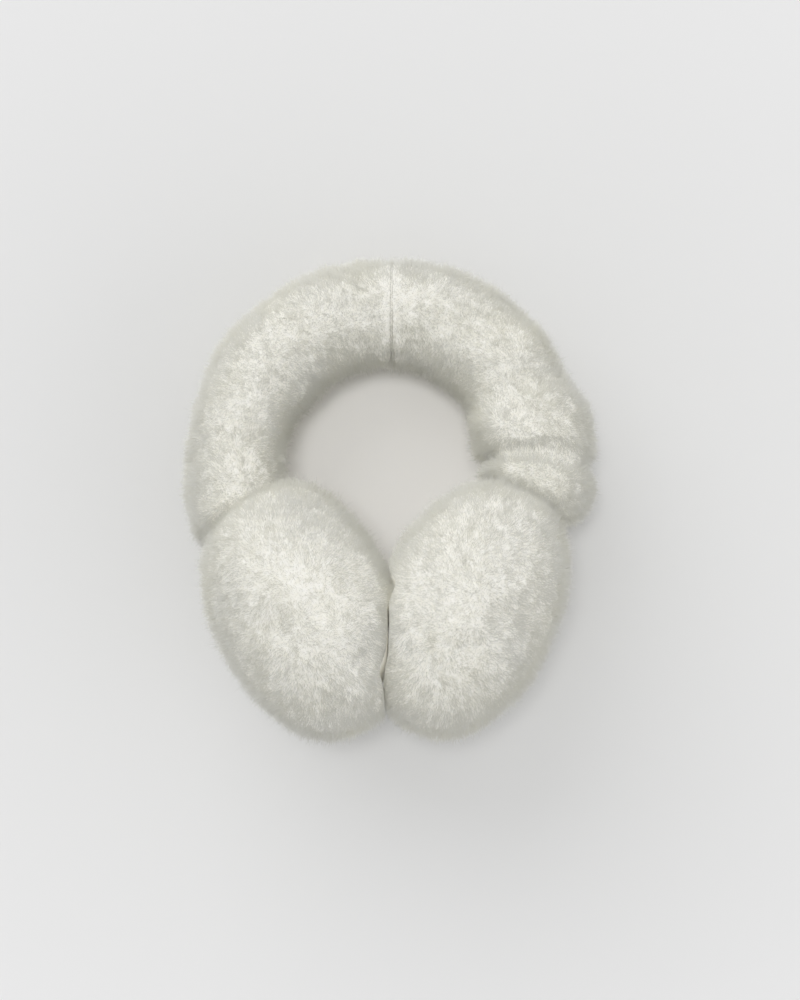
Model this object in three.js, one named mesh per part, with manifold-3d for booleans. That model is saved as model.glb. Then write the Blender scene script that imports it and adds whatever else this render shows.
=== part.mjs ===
// Fur earmuffs at rest on a flat surface, in millimetres, +Z up.
//
// A sprung C-shaped headband wears two sleeves of deep fur that meet in a seam at the crown. Its ends
// are pushed into two thick round fur pads. With no head between them the pads spring together, and
// the earmuffs lie on the lower rims of the pads and the lower edge of the crown.
//
// The pieces are made in the ring's own frame, whose middle is the middle of the ring: +X to the right
// pad, +Y to the crown and +Z along the ring's axis. The ring is then leaned about X, so that pads and
// crown both touch down, and moved until the middle of its footprint is the origin.

import * as THREE from "three";
import { mergeVertices } from "three/addons/utils/BufferGeometryUtils.js";
import Module from "manifold-3d";

const wasm = await Module();
wasm.setup();

// ---- Driving dimensions -------------------------------------------------------------------------

const GAP = 0.3; // left between any two pieces
const LEAN = 12.5; // degrees between the ring's axis and the vertical
const FLOOR_PRESS = 3; // how far the pile of the pads gives where it bears on the surface

// The hidden spring strip: an arc as far as halfSweep each way from the crown, then on into each pad.
const SPRING = { radius: 67.5, halfSweep: 100, sweepStep: 10, intoPad: 36, width: 20, thickness: 2 };

// The fur sleeves, a row for each section, at an angle from the crown towards a pad. inner and outer
// are radii from the middle of the ring, and half is half the width along the ring's axis. The pile is
// drawn in at the crown seam, and it closes over the end of the sleeve behind the pad. The right
// sleeve swells past 70 degrees and has one fold across it at 92.
const RIGHT_SLEEVE = [
  { angle: 0, inner: 51, outer: 88, half: 28 },
  { angle: 3, inner: 48, outer: 91, half: 31 },
  { angle: 10, inner: 45, outer: 92.5, half: 32.5 },
  { angle: 30, inner: 42.5, outer: 92.5, half: 33 },
  { angle: 48, inner: 42.5, outer: 91, half: 32 },
  { angle: 64, inner: 41, outer: 90, half: 32 },
  { angle: 72, inner: 39.5, outer: 93.5, half: 34 },
  { angle: 83, inner: 38.5, outer: 94, half: 34.5 },
  { angle: 92, inner: 41, outer: 92.5, half: 31 },
  { angle: 101, inner: 40, outer: 94, half: 32 },
  { angle: 108, inner: 47, outer: 90.5, half: 27 },
  { angle: 112, inner: 56, outer: 82, half: 16 },
];
const LEFT_SLEEVE = [
  { angle: 0, inner: 51, outer: 88, half: 28 },
  { angle: 3, inner: 48, outer: 91, half: 31 },
  { angle: 10, inner: 45.5, outer: 92, half: 32.5 },
  { angle: 30, inner: 44, outer: 92, half: 33 },
  { angle: 56, inner: 44.5, outer: 92.5, half: 32.5 },
  { angle: 75, inner: 46, outer: 90.5, half: 32.5 },
  { angle: 92, inner: 46.5, outer: 91.5, half: 33.5 },
  { angle: 106, inner: 46.5, outer: 94, half: 33 },
  { angle: 114, inner: 50, outer: 92, half: 28 },
  { angle: 119, inner: 58, outer: 84, half: 17 },
];
const SLEEVE_MESH = { around: 28, along: 20, squareness: 2.2 };

// The pads: thick discs of fur round a middle plane. turn is how far a disc's top edge leans outwards
// from the plane where the pads meet, and ear and back are the depths of pile either side.
const PADS = {
  left: { side: -1, x: 37, y: -68, turn: 25, radius: 61, ear: 41, back: 42 },
  right: { side: 1, x: 36, y: -67.5, turn: 25, radius: 61, ear: 41, back: 41 },
};
const PAD_MESH = { around: 36, rings: 24, plumpness: 2.1 };

const FUR = { color: 0xe9e7db, roughness: 1, metalness: 0 };
const STEEL = { color: 0x9a9c9e, roughness: 0.35, metalness: 1 };

// ---- Helpers ------------------------------------------------------------------------------------

const radians = THREE.MathUtils.degToRad;
const UP = new THREE.Vector3(0, 0, 1);

// A signed power, which turns a circle's cosine or sine into a superellipse's.
const bulge = (value, power) => Math.sign(value) * Math.abs(value) ** (2 / power);

function reshape(geometry, move) {
  const places = geometry.attributes.position;
  const p = new THREE.Vector3();
  for (let i = 0; i < places.count; i++) {
    move(p.fromBufferAttribute(places, i));
    places.setXYZ(i, p.x, p.y, p.z);
  }
  return geometry;
}

function toSolid(geometry) {
  const bare = geometry.clone();
  bare.deleteAttribute("normal");
  bare.deleteAttribute("uv");
  const merged = mergeVertices(bare, 1e-3);
  return new wasm.Manifold(
    new wasm.Mesh({
      numProp: 3,
      vertProperties: new Float32Array(merged.attributes.position.array),
      triVerts: new Uint32Array(merged.index.array),
    }),
  );
}

function toGeometry(solid) {
  const mesh = solid.getMesh();
  const geometry = new THREE.BufferGeometry();
  geometry.setAttribute("position", new THREE.BufferAttribute(mesh.vertProperties, 3));
  geometry.setIndex(new THREE.BufferAttribute(mesh.triVerts, 1));
  geometry.computeVertexNormals();
  return geometry;
}

// Everything further than a distance along a direction, as a block larger than the earmuffs.
function blockBeyond(direction, distance) {
  const size = 600;
  const turn = new THREE.Quaternion().setFromUnitVectors(UP, direction);
  const block = new THREE.BoxGeometry(size, size, size).translate(0, 0, distance + size / 2);
  return toSolid(block.applyQuaternion(turn));
}

// ---- The pads -----------------------------------------------------------------------------------

// The disc's middle and its own directions: along it towards the band, and out towards the ear.
function padAxes(pad) {
  const turn = radians(pad.turn);
  return {
    centre: new THREE.Vector3(pad.side * pad.x, pad.y, 0),
    along: new THREE.Vector3(pad.side * Math.sin(turn), Math.cos(turn), 0),
    ear: new THREE.Vector3(-pad.side * Math.cos(turn), Math.sin(turn), 0),
  };
}

// A pad that nothing presses on, swollen all over by extra.
function freePad(pad, extra = 0) {
  const { centre, along, ear } = padAxes(pad);
  const sphere = new THREE.SphereGeometry(1, PAD_MESH.around, PAD_MESH.rings);
  return reshape(sphere, (p) => {
    const reach = Math.hypot(p.x, p.z);
    const spread = (bulge(reach, PAD_MESH.plumpness) / (reach || 1)) * (pad.radius + extra);
    const depth = bulge(p.y, PAD_MESH.plumpness) * ((p.y > 0 ? pad.ear : pad.back) + extra);
    const rise = p.z * spread;
    const run = pad.side * p.x * spread;
    p.copy(centre).addScaledVector(along, run).addScaledVector(ear, depth).addScaledVector(UP, rise);
  });
}

// ---- The fur sleeves ----------------------------------------------------------------------------

// The section at any angle, between the rows of a table.
function sectionAt(rows) {
  const angles = rows.map((row) => row.angle);
  const samples = rows.flatMap((row) => [row.inner, row.outer, row.half]);
  const curve = new THREE.CubicInterpolant(angles, samples, 3, new Float32Array(3));
  return (angle) => {
    const [inner, outer, half] = curve.evaluate(angle);
    return { middle: (inner + outer) / 2, depth: (outer - inner) / 2, half };
  };
}

// A cylinder bent round the ring, from the crown seam to the sleeve's end behind the pad.
function freeSleeve(rows, side) {
  const section = sectionAt(rows);
  const first = THREE.MathUtils.radToDeg(GAP / 2 / SPRING.radius);
  const last = rows[rows.length - 1].angle;
  const tube = new THREE.CylinderGeometry(1, 1, 1, SLEEVE_MESH.around, SLEEVE_MESH.along);
  return reshape(tube, (p) => {
    // The sections lie closer together near both ends, where the sleeve rounds over.
    const share = (1 - Math.cos(Math.PI * (p.y + 0.5))) / 2;
    const angle = THREE.MathUtils.lerp(first, last, share);
    const { middle, depth, half } = section(angle);
    const radial = middle + depth * bulge(p.x, SLEEVE_MESH.squareness);
    const rise = -side * half * bulge(p.z, SLEEVE_MESH.squareness);
    const turn = radians(angle);
    p.set(side * radial * Math.sin(turn), radial * Math.cos(turn), rise);
  });
}

// ---- The headband's spring ----------------------------------------------------------------------

// Round the ring and on into each pad, to end a little further in by extra.
function springPath(extra) {
  const tips = Object.values(PADS).map((pad) => {
    const { centre, along } = padAxes(pad);
    return centre.addScaledVector(along, pad.radius - SPRING.intoPad - extra);
  });
  const arc = [];
  for (let angle = -SPRING.halfSweep; angle <= SPRING.halfSweep; angle += SPRING.sweepStep) {
    const turn = radians(angle);
    arc.push(new THREE.Vector3(Math.sin(turn), Math.cos(turn), 0).multiplyScalar(SPRING.radius));
  }
  return new THREE.CatmullRomCurve3([tips[0], ...arc, tips[1]]);
}

// The strip, larger all round by extra.
function strip(extra = 0) {
  const w = SPRING.width / 2 + extra;
  const t = SPRING.thickness / 2 + extra;
  const corners = [
    [-w, -t],
    [w, -t],
    [w, t],
    [-w, t],
  ];
  const outline = new THREE.Shape(corners.map(([x, y]) => new THREE.Vector2(x, y)));
  return new THREE.ExtrudeGeometry(outline, { steps: 48, extrudePath: springPath(extra) });
}

// ---- Assembly -----------------------------------------------------------------------------------

const ring = new THREE.Group();
ring.rotation.x = -radians(LEAN);

const down = UP.clone().negate().applyQuaternion(ring.quaternion.clone().invert());
const padReach = Math.max(
  ...Object.values(PADS).map((pad) => {
    let reach = 0;
    reshape(freePad(pad), (p) => (reach = Math.max(reach, p.dot(down))));
    return reach;
  }),
);
const floorDistance = padReach - FLOOR_PRESS;
const floor = blockBeyond(down, floorDistance);
const slot = toSolid(strip(GAP));

function pad(name) {
  const shape = PADS[name];
  const otherSide = blockBeyond(new THREE.Vector3(-shape.side, 0, 0), -GAP / 2);
  return toSolid(freePad(shape)).subtract(otherSide).subtract(floor).subtract(slot);
}

function sleeve(rows, side, padShape) {
  const behindPad = toSolid(freePad(padShape, GAP));
  return toSolid(freeSleeve(rows, side)).subtract(behindPad).subtract(floor).subtract(slot);
}

function addPiece(name, geometry, finish) {
  const piece = new THREE.Mesh(geometry, new THREE.MeshStandardMaterial(finish));
  piece.name = name;
  ring.add(piece);
}

addPiece("headband_spring", strip(), STEEL);
addPiece("band_fur_left", toGeometry(sleeve(LEFT_SLEEVE, -1, PADS.left)), FUR);
addPiece("band_fur_right", toGeometry(sleeve(RIGHT_SLEEVE, 1, PADS.right)), FUR);
addPiece("ear_pad_left", toGeometry(pad("left")), FUR);
addPiece("ear_pad_right", toGeometry(pad("right")), FUR);

// The middle of the footprint is the origin.
ring.updateMatrixWorld(true);
const extent = new THREE.Box3().setFromObject(ring, true);
const middle = extent.getCenter(new THREE.Vector3());
ring.position.set(-middle.x, -middle.y, floorDistance);

const earmuffs = new THREE.Group();
earmuffs.add(ring);
export default earmuffs;
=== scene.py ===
"""Fur earmuffs lying on their side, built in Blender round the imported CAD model.

Each CAD solid is the outer form of a piece of fur. It is replaced by two pieces: a body, which is the
closed skin and underfur some way inside that form, and a pile, which is the strands that grow from the
body out to the form. The forms repeat the CAD model's driving dimensions, in millimetres in the ring's
own frame: +X to the right pad, +Y to the crown, +Z along the ring's axis.
"""

from math import atan, pi

import bpy
import numpy as np
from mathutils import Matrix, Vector, kdtree, noise


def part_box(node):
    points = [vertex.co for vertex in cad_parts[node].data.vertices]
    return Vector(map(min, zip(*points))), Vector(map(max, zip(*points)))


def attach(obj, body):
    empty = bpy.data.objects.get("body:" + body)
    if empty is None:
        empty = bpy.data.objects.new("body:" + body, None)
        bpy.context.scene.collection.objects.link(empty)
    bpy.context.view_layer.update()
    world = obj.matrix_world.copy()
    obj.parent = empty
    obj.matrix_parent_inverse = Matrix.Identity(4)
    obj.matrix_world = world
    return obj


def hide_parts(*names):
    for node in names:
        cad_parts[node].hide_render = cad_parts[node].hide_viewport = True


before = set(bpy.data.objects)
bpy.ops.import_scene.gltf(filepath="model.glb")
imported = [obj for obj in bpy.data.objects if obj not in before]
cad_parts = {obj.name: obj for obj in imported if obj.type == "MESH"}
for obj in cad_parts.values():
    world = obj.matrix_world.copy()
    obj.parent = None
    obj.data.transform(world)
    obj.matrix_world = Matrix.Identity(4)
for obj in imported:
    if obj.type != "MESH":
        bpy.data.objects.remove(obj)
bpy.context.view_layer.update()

MM = 0.001

# ---- The forms, as the CAD model has them (mm and degrees) ---------------------------------------

LEAN = 12.5
FLOOR_PRESS = 3.0
SPRING = dict(radius=67.5, width=20.0, thickness=2.0)
SQUARENESS = 2.2
PLUMPNESS = 2.1

# angle from the crown, inner and outer radius, half width along the ring's axis
RIGHT_SLEEVE = [
    (-8, 45.5, 92, 32),
    (0, 46, 91.5, 31.7),
    (10, 45, 92.5, 32.5),
    (30, 42.5, 92.5, 33),
    (48, 42.5, 91, 32),
    (64, 41, 90, 32),
    (72, 39.5, 93.5, 34),
    (84, 38.5, 94, 34.5),
    (89, 39.8, 93.3, 33.7),
    (92.5, 44, 90.5, 28.5),
    (95.5, 41.3, 92.8, 32),
    (101, 40, 94, 32),
    (108, 47, 90.5, 27),
    (112, 56, 82, 16),
]
LEFT_SLEEVE = [
    (-8, 45.5, 92, 32),
    (0, 46, 91.5, 31.7),
    (10, 45.5, 92, 32.5),
    (30, 44, 92, 33),
    (56, 44.5, 92.5, 32.5),
    (75, 46, 90.5, 32.5),
    (92, 46.5, 91.5, 33.5),
    (106, 46.5, 94, 33),
    (114, 50, 92, 28),
    (119, 58, 84, 17),
]
PADS = {
    "left": dict(side=-1, x=37, y=-68, turn=25, radius=61, ear=41, back=42),
    "right": dict(side=1, x=36, y=-67.5, turn=25, radius=61, ear=41, back=41),
}

# The line where the two halves meet: how far it wanders to the right of the middle, how far the two
# piles part there, and how full they stand beside it, at a distance down from the middle of the ring.
SEAM = [
    (-90, 1.5, -1.0, 1.2),
    (45, 1.5, -2.0, 3.0),
    (56, 1.0, -0.8, 4.0),
    (63, 3.6, 0.6, 3.5),
    (73, 0.2, 0.7, 3.0),
    (84, 0.4, 0.7, 2.0),
    (92, -0.2, 1.2, 0.5),
    (100, -2.6, 2.4, -0.5),
    (108, -2.0, -0.5, 1.5),
    (125, -1.0, -1.0, 3.0),
]

# Where the fur seen from above is full or parted: place from the middle of the ring, size and height.
LUMPS = [
    (-49, -86, 7, -3.5),
    (-28, -77, 6, -3.0),
    (-38, -62, 12, -1.5),
    (-17, -87, 9, 2.5),
    (50, -83, 6, -3.0),
    (64, -76, 6, -2.5),
    (36, -98, 7, -3.0),
    (57, -61, 5, -2.0),
    (42, -72, 8, 1.5),
    (57, 37, 9, 3.0),
    (67, 52, 12, 3.0),
    (42, 14, 9, 3.5),
    (76, -20, 8, 3.0),
    (-66, 50, 12, 1.5),
    (49, 10, 8, 2.5),
    (64, 22, 8, 2.5),
    (60, 28, 4, -3.0),
    (56, 15, 4, -2.5),
]

# How high and how far across the fur swells everywhere.
SWELLS = [(1.2, 28.0), (0.8, 12.0), (0.25, 5.0)]

# ---- Small helpers -------------------------------------------------------------------------------


def unit(vectors):
    return vectors / np.maximum(np.linalg.norm(vectors, axis=-1, keepdims=True), 1e-12)


def dot(a, b):
    return np.sum(a * b, axis=-1, keepdims=True)


def mix(a, b, share):
    return a + (b - a) * share


def bulge(value, power):
    """A signed power, which turns a circle's cosine or sine into a superellipse's."""
    return np.sign(value) * np.abs(value) ** (2 / power)


def smooth_rows(rows, angle):
    """The rows' columns at any angle, eased between the rows."""
    table = np.array(rows, float)
    at = np.clip(np.searchsorted(table[:, 0], angle) - 1, 0, len(table) - 2)
    share = np.clip((angle - table[at, 0]) / (table[at + 1, 0] - table[at, 0]), 0, 1)
    slopes = np.gradient(table[:, 1:], table[:, 0], axis=0)
    step = (table[at + 1, 0] - table[at, 0])[:, None]
    share = share[:, None]
    low, high = table[at, 1:], table[at + 1, 1:]
    h00 = 2 * share**3 - 3 * share**2 + 1
    h10 = share**3 - 2 * share**2 + share
    h01 = -2 * share**3 + 3 * share**2
    h11 = share**3 - share**2
    return h00 * low + h10 * step * slopes[at] + h01 * high + h11 * step * slopes[at + 1]


def noise_at(points, period, offset=0.0):
    """Smooth noise from -1 to 1 at each point, with lumps of about a period across."""
    shift = Vector((offset, -offset, 2 * offset))
    return np.array([noise.noise(Vector(p) / period + shift) for p in points])


def noise_vectors(points, period, offset=0.0):
    shift = Vector((offset, -offset, 2 * offset))
    return np.array([noise.noise_vector(Vector(p) / period + shift) for p in points])


# ---- The ring's frame ----------------------------------------------------------------------------

TURN = np.radians(-LEAN)
LEANING = np.array([[1, 0, 0], [0, np.cos(TURN), -np.sin(TURN)], [0, np.sin(TURN), np.cos(TURN)]])
SKY = np.array([0, 0, 1.0]) @ LEANING


def pad_axes(pad):
    turn = np.radians(pad["turn"])
    centre = np.array([pad["side"] * pad["x"], pad["y"], 0.0])
    along = np.array([pad["side"] * np.sin(turn), np.cos(turn), 0.0])
    ear = np.array([-pad["side"] * np.cos(turn), np.sin(turn), 0.0])
    return centre, along, ear


def pad_grid(pad, around, rings):
    """The pad's outer form, as rings of points from the ear pole to the back pole."""
    centre, along, ear = pad_axes(pad)
    latitude = np.linspace(0, pi, rings + 1)[:, None]
    longitude = np.arange(around)[None, :] * 2 * pi / around
    spread = bulge(np.sin(latitude), PLUMPNESS) * pad["radius"]
    pole = np.cos(latitude) + 0 * longitude
    depth = bulge(pole, PLUMPNESS) * np.where(pole > 0, pad["ear"], pad["back"])
    run = spread * np.cos(longitude)
    rise = pad["side"] * spread * np.sin(longitude)
    up = np.array([0, 0, 1.0])
    return centre + run[..., None] * along + depth[..., None] * ear + rise[..., None] * up


def sleeve_grid(rows, side, around, along):
    """The sleeve's outer form, as rings of points from the crown to its end."""
    share = (1 - np.cos(np.linspace(0, pi, along + 1))) / 2
    angle = mix(rows[0][0], rows[-1][0], 0.7 * share + 0.3 * np.linspace(0, 1, along + 1))
    inner, outer, half = smooth_rows(rows, angle).T[..., None]
    phase = np.arange(around)[None, :] * 2 * pi / around
    radial = (inner + outer) / 2 + (outer - inner) / 2 * bulge(np.cos(phase), SQUARENESS)
    rise = -side * half * bulge(np.sin(phase), SQUARENESS)
    turn = np.radians(angle)[:, None]
    return np.stack([side * radial * np.sin(turn), radial * np.cos(turn), rise + 0 * turn], axis=-1)


def grid_triangles(rings, around):
    """Closes a grid of rings, with a fan over each end."""
    ring = np.arange(rings - 1)[:, None] * around
    here = np.arange(around)[None, :]
    there = (here + 1) % around
    a, b, c, d = ring + here, ring + there, ring + around + there, ring + around + here
    walls = np.concatenate([np.stack([a, b, c], -1).reshape(-1, 3), np.stack([a, c, d], -1).reshape(-1, 3)])
    first, last = rings * around, rings * around + 1
    end = (rings - 1) * around
    here, there = here[0], there[0]
    caps = [
        np.stack([np.full(around, first), there, here], -1),
        np.stack([np.full(around, last), end + here, end + there], -1),
    ]
    return np.concatenate([walls, *caps])


def close_grid(grid):
    rings, around, _ = grid.shape
    points = np.concatenate([grid.reshape(-1, 3), grid[0].mean(0)[None], grid[-1].mean(0)[None]])
    triangles = grid_triangles(rings, around)
    middle = points.mean(0)
    a, b, c = (points[triangles[:, i]] for i in range(3))
    volume = np.sum(dot(np.cross(b - a, c - a), a - middle))
    return points, triangles if volume > 0 else triangles[:, ::-1]


def vertex_normals(points, triangles):
    a, b, c = (points[triangles[:, i]] for i in range(3))
    faces = np.cross(b - a, c - a)
    normals = np.zeros_like(points)
    for i in range(3):
        np.add.at(normals, triangles[:, i], faces)
    return unit(normals)


def lumps_on(points, normals):
    """How far the lumps raise or part the fur, on the side that faces up."""
    up = np.clip(normals[:, 2] * 1.5, 0, 1)
    shift, _, fullness = seam_at(points)
    raised = fullness * np.exp(-(((points[:, 0] - shift) / 14) ** 2)) * up
    up = np.clip(normals[:, 2] * 1.5 + 0.5, 0, 1)
    for x, y, size, height in LUMPS:
        away = np.hypot(points[:, 0] - x, points[:, 1] - y) / size
        raised += height * np.exp(-(away**2)) * up
    return raised


# ---- What presses on the fur ---------------------------------------------------------------------


def seam_at(points):
    """The seam's place along X, the parting and the fullness there, for points in the ring's frame."""
    rows = np.array(SEAM)
    return (np.interp(-points[:, 1], rows[:, 0], rows[:, column]) for column in (1, 2, 3))


def past_seam(points, side):
    """How far each point reaches over the seam into the other half."""
    shift, parting, _ = seam_at(points)
    return parting / 2 - side * (points[:, 0] - shift)


def inside_pad(points, pad, inset=0.0):
    """Below 1 inside the pad's form, 1 on it and above 1 outside."""
    centre, along, ear = pad_axes(pad)
    rel = points - centre
    depth = rel @ ear
    run = rel @ along
    reach = np.hypot(run, rel[:, 2]) / (pad["radius"] - inset)
    thick = np.abs(depth) / (np.where(depth > 0, pad["ear"], pad["back"]) - inset)
    return (reach**PLUMPNESS + thick**PLUMPNESS) ** (1 / PLUMPNESS)


def pad_reach():
    down = np.linalg.inv(LEANING) @ np.array([0, 0, -1.0])
    return max((pad_grid(pad, 72, 48) @ down).max() for pad in PADS.values())


FLOOR = -(pad_reach() - FLOOR_PRESS)


def press(points, side, jitter, pad=None):
    """Keeps points on their own side of the seam, above the floor, and out of the pad behind."""
    points = points.copy()
    over = past_seam(points, side) + 0.3 * jitter
    points[:, 0] += side * np.maximum(over, 0)
    if pad is not None:
        level = inside_pad(points, pad) / 0.93
        centre = pad_axes(pad)[0]
        out = np.where(level < 1, 1 / np.maximum(level, 0.3), 1)[:, None]
        points = centre + (points - centre) * out
    world = points @ LEANING.T
    world[:, 2] = np.maximum(world[:, 2], FLOOR + 0.3 + 1.2 * jitter)
    return world @ LEANING


def ring_place():
    """The middle of the ring, found from the spring, whose arc reaches as far to the left and right."""
    low, high = (np.array(corner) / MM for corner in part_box("headband_spring"))
    outside = SPRING["radius"] + SPRING["thickness"] / 2
    reach = outside * np.cos(TURN) + SPRING["width"] / 2 * abs(np.sin(TURN))
    return np.array([(low[0] + high[0]) / 2, high[1] - reach, -FLOOR])


RING_AT = ring_place()


def to_world(points):
    """From millimetres in the ring's frame to metres in the row's frame."""
    return (points @ LEANING.T + RING_AT) * MM


# ---- Fur -----------------------------------------------------------------------------------------

STRANDS = 99000
STRAND_HALF_WIDTH = 0.10
PILE = dict(depth=5.6, lean=0.35, stray=0.50, ragged=0.8, curl=0.5, scatter=0.15, skyward=2.0)
TUFTS = (
    dict(across=7.0, pull=0.14, lift=0.45, round=0.28),
    dict(across=2.6, pull=0.25, lift=0.25, round=0.18),
)


def scatter(points, triangles, normals, weights, count, rng):
    a, b, c = (points[triangles[:, i]] for i in range(3))
    area = np.linalg.norm(np.cross(b - a, c - a), axis=1) * weights[triangles].mean(1)
    chosen = rng.choice(len(triangles), count, p=area / area.sum())
    u, v = rng.random((2, count, 1))
    flip = u + v > 1
    u, v = np.where(flip, 1 - u, u), np.where(flip, 1 - v, v)
    corners = triangles[chosen]
    place = points[corners[:, 0]] * (1 - u - v) + points[corners[:, 1]] * u + points[corners[:, 2]] * v
    facing = normals[corners[:, 0]] * (1 - u - v) + normals[corners[:, 1]] * u + normals[corners[:, 2]] * v
    return place, unit(facing)


def gather(points, spacing, rng):
    """For each strand, the strand at the middle of its tuft. Tufts are about spacing apart."""
    count = len(points)
    probe = kdtree.KDTree(count)
    for i, p in enumerate(points):
        probe.insert(p, i)
    probe.balance()
    order = rng.permutation(count)
    taken = np.zeros(count, bool)
    centres = []
    for i in order:
        if not taken[i]:
            centres.append(i)
            for _, j, _ in probe.find_range(points[i], spacing):
                taken[j] = True
    tree = kdtree.KDTree(len(centres))
    for k, i in enumerate(centres):
        tree.insert(points[i], k)
    tree.balance()
    nearest = np.array([tree.find(p)[1] for p in points])
    return np.array(centres)[nearest]


def skyward(normals):
    """Fur passes light on from above, so its normals turn up, but less so where they face down."""
    return unit(normals + PILE["skyward"] * (1 + dot(normals, SKY)) / 2 * SKY)


def grow(place, facing, side, rng, pad=None):
    """The strands' root, middle and tip, and the normal that each is shaded with."""
    count = len(place)
    comb = noise_vectors(place, 30.0, 3.0)
    comb = comb - facing * dot(comb, facing)
    comb = comb / (0.25 + np.linalg.norm(comb, axis=1, keepdims=True))
    stray = rng.normal(0, PILE["stray"], (count, 3))
    depth = PILE["depth"] * (0.92 + 0.16 * rng.random((count, 1)))
    root = place - facing * depth
    bent = comb * PILE["lean"] + stray
    bent -= facing * 0.35 * np.maximum(dot(bent, facing), 0)
    tip = place + bent * depth
    tip -= facing * PILE["ragged"] * rng.random((count, 1)) ** 2 * 2
    shade = skyward(facing)
    for tuft in TUFTS:
        middle = gather(place, tuft["across"] * 0.62, rng)
        strength = tuft["pull"] * (0.6 + 0.8 * rng.random((count, 1)))
        raised = tuft["lift"] * rng.normal(0, 1, (count, 1)).clip(-1.5, 1.5)[middle]
        tip = mix(tip, tip[middle], strength) + facing * raised
        shade += tuft["round"] * (place - place[middle]) / (tuft["across"] / 2)
    shade += PILE["scatter"] * rng.normal(0, 1, (count, 3))
    bend = mix(root, tip, 0.6) + facing * 0.06 * depth + rng.normal(0, PILE["curl"], (count, 3))
    root, bend, tip = (press(p, side, rng.random(count), pad) for p in (root, bend, tip))
    return root, bend, tip, unit(shade)


def strands(name, root, bend, tip, shade, rng):
    """One mesh of flat strands, each two triangles that taper to the root and to the tip."""
    count = len(root)
    run = unit(tip - root)
    across = unit(np.cross(run, shade) + 0.7 * rng.normal(0, 1, (count, 3)))
    across = unit(across - run * dot(across, run))
    facing = np.cross(across, run)
    across = across * np.where(dot(facing, shade) < 0, -1, 1) * STRAND_HALF_WIDTH
    corners = np.stack([root, bend + across, bend - across, tip], axis=1)
    points = to_world(corners.reshape(-1, 3))
    loops = np.arange(count)[:, None] * 4 + np.array([[0, 1, 2, 2, 1, 3]])

    mesh = bpy.data.meshes.new(name)
    mesh.vertices.add(len(points))
    mesh.vertices.foreach_set("co", points.astype(np.float32).ravel())
    mesh.loops.add(loops.size)
    mesh.loops.foreach_set("vertex_index", loops.astype(np.int32).ravel())
    mesh.polygons.add(2 * count)
    mesh.polygons.foreach_set("loop_start", np.arange(0, loops.size, 3, dtype=np.int32))
    mesh.polygons.foreach_set("use_smooth", np.ones(2 * count, bool))
    mesh.update()

    along = np.array([0, 0.6, 0.6, 0.6, 0.6, 1.0])
    uv = np.stack([np.repeat(rng.random(count), 6), np.tile(along, count)], axis=-1)
    layer = mesh.uv_layers.new(name="OFBake")
    layer.uv.foreach_set("vector", uv.astype(np.float32).ravel())
    normals = np.repeat(shade @ LEANING.T, 4, axis=0)
    mesh.normals_split_custom_set_from_vertices(normals.astype(np.float32))
    return mesh


def furry(name, grid, side, seed, pad=None):
    """A body and its pile, over the outer form that a grid gives."""
    rng = np.random.default_rng(seed)
    points, triangles = close_grid(grid)
    normals = vertex_normals(points, triangles)
    swell = lumps_on(points, normals)
    for height, period in SWELLS:
        swell += height * noise_at(points, period)
    points = points + normals * swell[:, None]
    normals = vertex_normals(points, triangles)

    world_up = (normals @ LEANING.T)[:, 2]
    under = (points @ LEANING.T)[:, 2] - FLOOR
    weights = np.where(world_up < -0.55, 0.35, 1.0)
    weights = np.where(under < 1.0, 0.02, weights)
    weights = np.where(past_seam(points, side) > (6.0 if pad is None else 1.0), 0.0, weights)
    if pad is not None:
        weights = np.where(inside_pad(points, pad) < 0.84, 0.0, weights)

    place, facing = scatter(points, triangles, normals, weights, STRANDS, rng)
    pile = strands(name + "_pile", *grow(place, facing, side, rng, pad), rng)

    lumps = 0.4 * noise_at(points, 5.0, 8.0)
    inset = PILE["depth"] * 0.60 + lumps
    if pad is not None:
        inset = inset * (1 - 0.45 * np.exp(-(((points[:, 0] - 1.5) / 5) ** 2)))
    inner = press(points - normals * inset[:, None], side, 0.0)
    body = bpy.data.meshes.new(name + "_body")
    body.from_pydata(to_world(inner).tolist(), [], triangles.tolist())
    body.polygons.foreach_set("use_smooth", np.ones(len(body.polygons), bool))
    body.update()
    shade = skyward(vertex_normals(inner, triangles)) @ LEANING.T
    body.normals_split_custom_set_from_vertices(shade.astype(np.float32))
    pieces = []
    for mesh in (body, pile):
        piece = bpy.data.objects.new(mesh.name, mesh)
        bpy.context.scene.collection.objects.link(piece)
        pieces.append(piece)
    return pieces


# ---- Materials -----------------------------------------------------------------------------------


def new_material(name):
    material = bpy.data.materials.new(name)
    material.use_nodes = True
    tree = material.node_tree
    return material, tree, tree.nodes["Principled BSDF"], tree.nodes["Material Output"]


def ramp(tree, *stops):
    node = tree.nodes.new("ShaderNodeValToRGB")
    elements = node.color_ramp.elements
    while len(elements) < len(stops):
        elements.new(0.5)
    for element, (place, colour) in zip(elements, stops):
        element.position = place
        element.color = (*colour, 1)
    return node


def stains(tree, colour):
    """Multiplies a colour by the faint yellowing that comes and goes over the fur."""
    place = tree.nodes.new("ShaderNodeTexCoord")
    cloud = tree.nodes.new("ShaderNodeTexNoise")
    cloud.inputs["Scale"].default_value = 40
    cloud.inputs["Detail"].default_value = 3
    tree.links.new(place.outputs["Object"], cloud.inputs["Vector"])
    yellow = ramp(tree, (0.35, (0.98, 0.97, 0.91)), (0.65, (1.0, 1.0, 1.0)))
    tree.links.new(cloud.outputs["Fac"], yellow.inputs["Fac"])
    tint = tree.nodes.new("ShaderNodeMix")
    tint.data_type = "RGBA"
    tint.blend_type = "MULTIPLY"
    tint.inputs["Factor"].default_value = 1
    tree.links.new(colour, tint.inputs[6])
    tree.links.new(yellow.outputs["Color"], tint.inputs[7])
    return tint.outputs[2]


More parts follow.
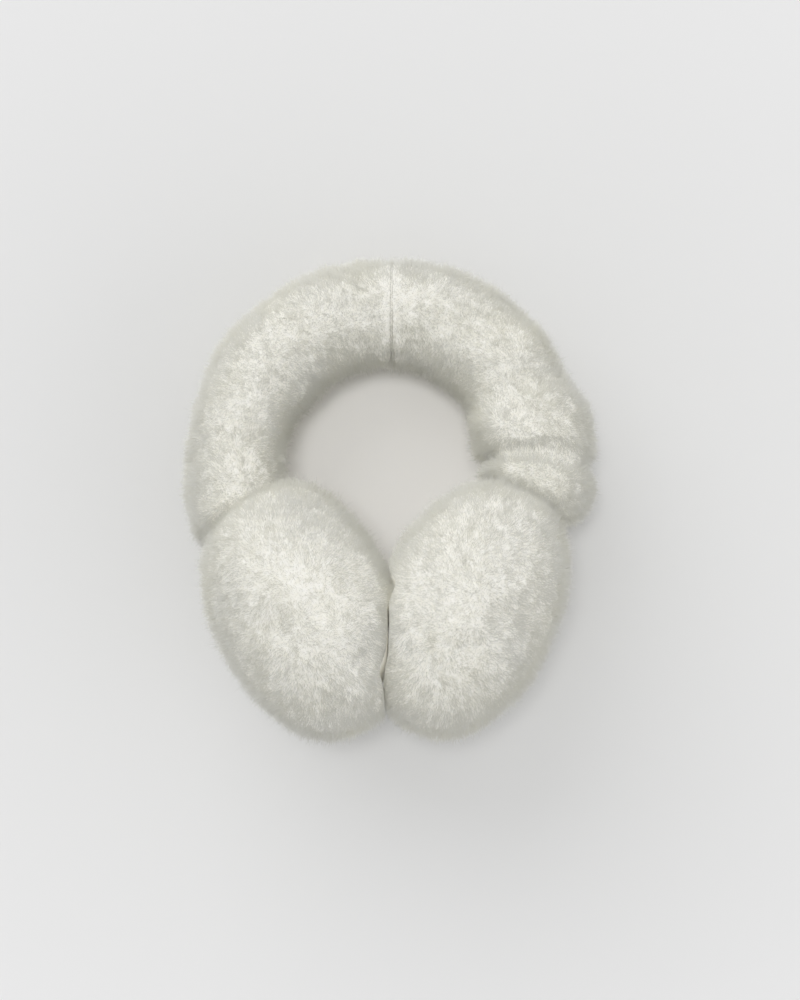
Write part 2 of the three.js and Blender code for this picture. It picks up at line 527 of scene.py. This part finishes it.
def pile_material():
    """Strands that are warm and a little darker at the root, partly their own tint and partly painted shade of the
    pile's depths, and off-white at the tip, and let light through.
    """
    material, tree, shader, output = new_material("fur_pile")
    uv = tree.nodes.new("ShaderNodeUVMap")
    uv.uv_map = "OFBake"
    split = tree.nodes.new("ShaderNodeSeparateXYZ")
    tree.links.new(uv.outputs["UV"], split.inputs["Vector"])
    # Partly painted shade: the root end is painted darker and warmer for the yellowed shade deep in the pile, on top
    # of the fur's own warm root.
    root_tint_and_painted_shade = ramp(tree, (0.0, (0.93, 0.915, 0.81)), (0.6, (0.97, 0.965, 0.905)), (1.0, (0.975, 0.975, 0.94)))
    tree.links.new(split.outputs["Y"], root_tint_and_painted_shade.inputs["Fac"])
    tone = ramp(tree, (0.0, (0.95, 0.945, 0.91)), (0.5, (1.0, 1.0, 1.0)))
    tree.links.new(split.outputs["X"], tone.inputs["Fac"])
    tint = tree.nodes.new("ShaderNodeMix")
    tint.data_type = "RGBA"
    tint.blend_type = "MULTIPLY"
    tint.inputs["Factor"].default_value = 1
    tree.links.new(root_tint_and_painted_shade.outputs["Color"], tint.inputs[6])
    tree.links.new(tone.outputs["Color"], tint.inputs[7])
    tree.links.new(stains(tree, tint.outputs[2]), shader.inputs["Base Color"])
    shader.inputs["Roughness"].default_value = 0.85
    shader.inputs["Specular IOR Level"].default_value = 0.12

    # Light from behind a strand counts as light on the fur, so each strand is lit as the pile is.
    geometry = tree.nodes.new("ShaderNodeNewGeometry")
    side = tree.nodes.new("ShaderNodeMapRange")
    side.inputs["To Min"].default_value = 1
    side.inputs["To Max"].default_value = -1
    tree.links.new(geometry.outputs["Backfacing"], side.inputs["Value"])
    outward = tree.nodes.new("ShaderNodeVectorMath")
    outward.operation = "SCALE"
    tree.links.new(geometry.outputs["Normal"], outward.inputs["Vector"])
    tree.links.new(side.outputs["Result"], outward.inputs["Scale"])
    tree.links.new(outward.outputs["Vector"], shader.inputs["Normal"])
    turn = tree.nodes.new("ShaderNodeVectorMath")
    turn.operation = "SCALE"
    turn.inputs["Scale"].default_value = -1
    tree.links.new(outward.outputs["Vector"], turn.inputs["Vector"])
    through = tree.nodes.new("ShaderNodeBsdfTranslucent")
    tree.links.new(tint.outputs[2], through.inputs["Color"])
    tree.links.new(turn.outputs["Vector"], through.inputs["Normal"])
    both = tree.nodes.new("ShaderNodeMixShader")
    both.inputs["Fac"].default_value = 0.5
    tree.links.new(shader.outputs["BSDF"], both.inputs[1])
    tree.links.new(through.outputs["BSDF"], both.inputs[2])

    # A strand here stands for several finer hairs, with gaps between them.
    gaps = tree.nodes.new("ShaderNodeBsdfTransparent")
    airy = tree.nodes.new("ShaderNodeMixShader")
    airy.inputs["Fac"].default_value = 0.4
    tree.links.new(both.outputs["Shader"], airy.inputs[1])
    tree.links.new(gaps.outputs["BSDF"], airy.inputs[2])
    tree.links.new(airy.outputs["Shader"], output.inputs["Surface"])
    return material


def body_material():
    """The underfur and skin below the pile."""
    material, tree, shader, _ = new_material("fur_body")
    place = tree.nodes.new("ShaderNodeNewGeometry")
    lumps = tree.nodes.new("ShaderNodeTexNoise")
    lumps.inputs["Scale"].default_value = 420
    tree.links.new(place.outputs["Position"], lumps.inputs["Vector"])
    colours = ramp(tree, (0.35, (0.91, 0.895, 0.83)), (0.65, (0.96, 0.95, 0.91)))
    tree.links.new(lumps.outputs["Fac"], colours.inputs["Fac"])
    tree.links.new(colours.outputs["Color"], shader.inputs["Base Color"])
    shader.inputs["Roughness"].default_value = 1
    shader.inputs["Specular IOR Level"].default_value = 0
    return material


def steel_material():
    """Steel strip, brushed across its width."""
    material, tree, shader, _ = new_material("brushed_steel")
    place = tree.nodes.new("ShaderNodeTexCoord")
    stretch = tree.nodes.new("ShaderNodeMapping")
    stretch.inputs["Scale"].default_value = (900, 900, 25)
    tree.links.new(place.outputs["Object"], stretch.inputs["Vector"])
    scratches = tree.nodes.new("ShaderNodeTexNoise")
    scratches.inputs["Scale"].default_value = 1
    scratches.inputs["Detail"].default_value = 4
    tree.links.new(stretch.outputs["Vector"], scratches.inputs["Vector"])
    colours = ramp(tree, (0.3, (0.46, 0.47, 0.48)), (0.7, (0.62, 0.63, 0.64)))
    tree.links.new(scratches.outputs["Fac"], colours.inputs["Fac"])
    tree.links.new(colours.outputs["Color"], shader.inputs["Base Color"])
    rough = tree.nodes.new("ShaderNodeMapRange")
    rough.inputs["To Min"].default_value = 0.25
    rough.inputs["To Max"].default_value = 0.45
    tree.links.new(scratches.outputs["Fac"], rough.inputs["Value"])
    tree.links.new(rough.outputs["Result"], shader.inputs["Roughness"])
    bump = tree.nodes.new("ShaderNodeBump")
    bump.inputs["Strength"].default_value = 0.15
    bump.inputs["Distance"].default_value = 0.0002
    tree.links.new(scratches.outputs["Fac"], bump.inputs["Height"])
    tree.links.new(bump.outputs["Normal"], shader.inputs["Normal"])
    shader.inputs["Metallic"].default_value = 1
    return material


def floor_material():
    material, tree, shader, _ = new_material("floor")
    place = tree.nodes.new("ShaderNodeNewGeometry")
    spread = tree.nodes.new("ShaderNodeVectorMath")
    spread.operation = "LENGTH"
    tree.links.new(place.outputs["Position"], spread.inputs[0])
    # Painted light: the floor is painted much brighter in the ring's hole, where the fur shades it, and painted
    # lighter towards the far edges than round the object.
    painted_light_tones = ramp(tree, (0.05, (0.98, 0.965, 0.95)), (0.09, (0.77, 0.77, 0.765)), (0.30, (0.84, 0.84, 0.842)))
    tree.links.new(spread.outputs["Value"], painted_light_tones.inputs["Fac"])
    tree.links.new(painted_light_tones.outputs["Color"], shader.inputs["Base Color"])
    shader.inputs["Roughness"].default_value = 0.9
    shader.inputs["Specular IOR Level"].default_value = 0.1
    return material


# ---- Stage ---------------------------------------------------------------------------------------


def add_camera():
    """Straight above, with the crown at the top of the picture."""
    height, seen_width, seen_at = 1.3, 0.36, 0.045
    lens = bpy.data.cameras.new("camera")
    lens.sensor_fit = "HORIZONTAL"
    lens.angle = 2 * atan(seen_width / 2 / (height - seen_at))
    camera = bpy.data.objects.new("camera", lens)
    camera.location = (0.0047, -0.0009, height)
    bpy.context.scene.collection.objects.link(camera)
    bpy.context.scene.camera = camera


def add_sun(name, direction, spread, strength):
    lamp = bpy.data.lights.new(name, "SUN")
    lamp.angle = np.radians(spread)
    lamp.energy = strength
    light = bpy.data.objects.new(name, lamp)
    light.rotation_euler = Vector(direction).to_track_quat("Z", "Y").to_euler()
    bpy.context.scene.collection.objects.link(light)


def add_stage():
    world = bpy.data.worlds.new("pale")
    world.use_nodes = True
    world.node_tree.nodes["Background"].inputs["Color"].default_value = (1, 1, 1, 1)
    world.node_tree.nodes["Background"].inputs["Strength"].default_value = 0.52
    bpy.context.scene.world = world
    add_sun("overhead", (-0.06, 0.10, 1), 14, 0.84)
    add_sun("fill", (0.75, -0.45, 0.25), 70, 0.45)
    add_sun("side", (-0.55, 1.0, 0.62), 60, 0.95)
    mesh = bpy.data.meshes.new("floor")
    half = 3.0
    mesh.from_pydata([(-half, -half, 0), (half, -half, 0), (half, half, 0), (-half, half, 0)], [], [(0, 1, 2, 3)])
    floor = bpy.data.objects.new("floor", mesh)
    bpy.context.scene.collection.objects.link(floor)
    mesh.materials.append(floor_material())
    bpy.context.scene.view_settings.view_transform = "Standard"
    bpy.context.scene.cycles.diffuse_bounces = 8


# ---- Assembly ------------------------------------------------------------------------------------

pile_fur = pile_material()
body_fur = body_material()


def add_fur(node, grid, side, seed, pad=None):
    body, pile = furry(node, grid, side, seed, pad)
    for piece, material in ((body, body_fur), (pile, pile_fur)):
        piece.data.materials.append(material)
        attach(piece, "root")
    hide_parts(node)


add_camera()
add_stage()
for name, shape in PADS.items():
    add_fur("ear_pad_" + name, pad_grid(shape, 144, 96), shape["side"], 10 + shape["side"])
for name, rows in (("left", LEFT_SLEEVE), ("right", RIGHT_SLEEVE)):
    shape = PADS[name]
    add_fur("band_fur_" + name, sleeve_grid(rows, shape["side"], 120, 120), shape["side"], 20 + shape["side"], shape)
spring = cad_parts["headband_spring"]
spring.data.materials.clear()
spring.data.materials.append(steel_material())
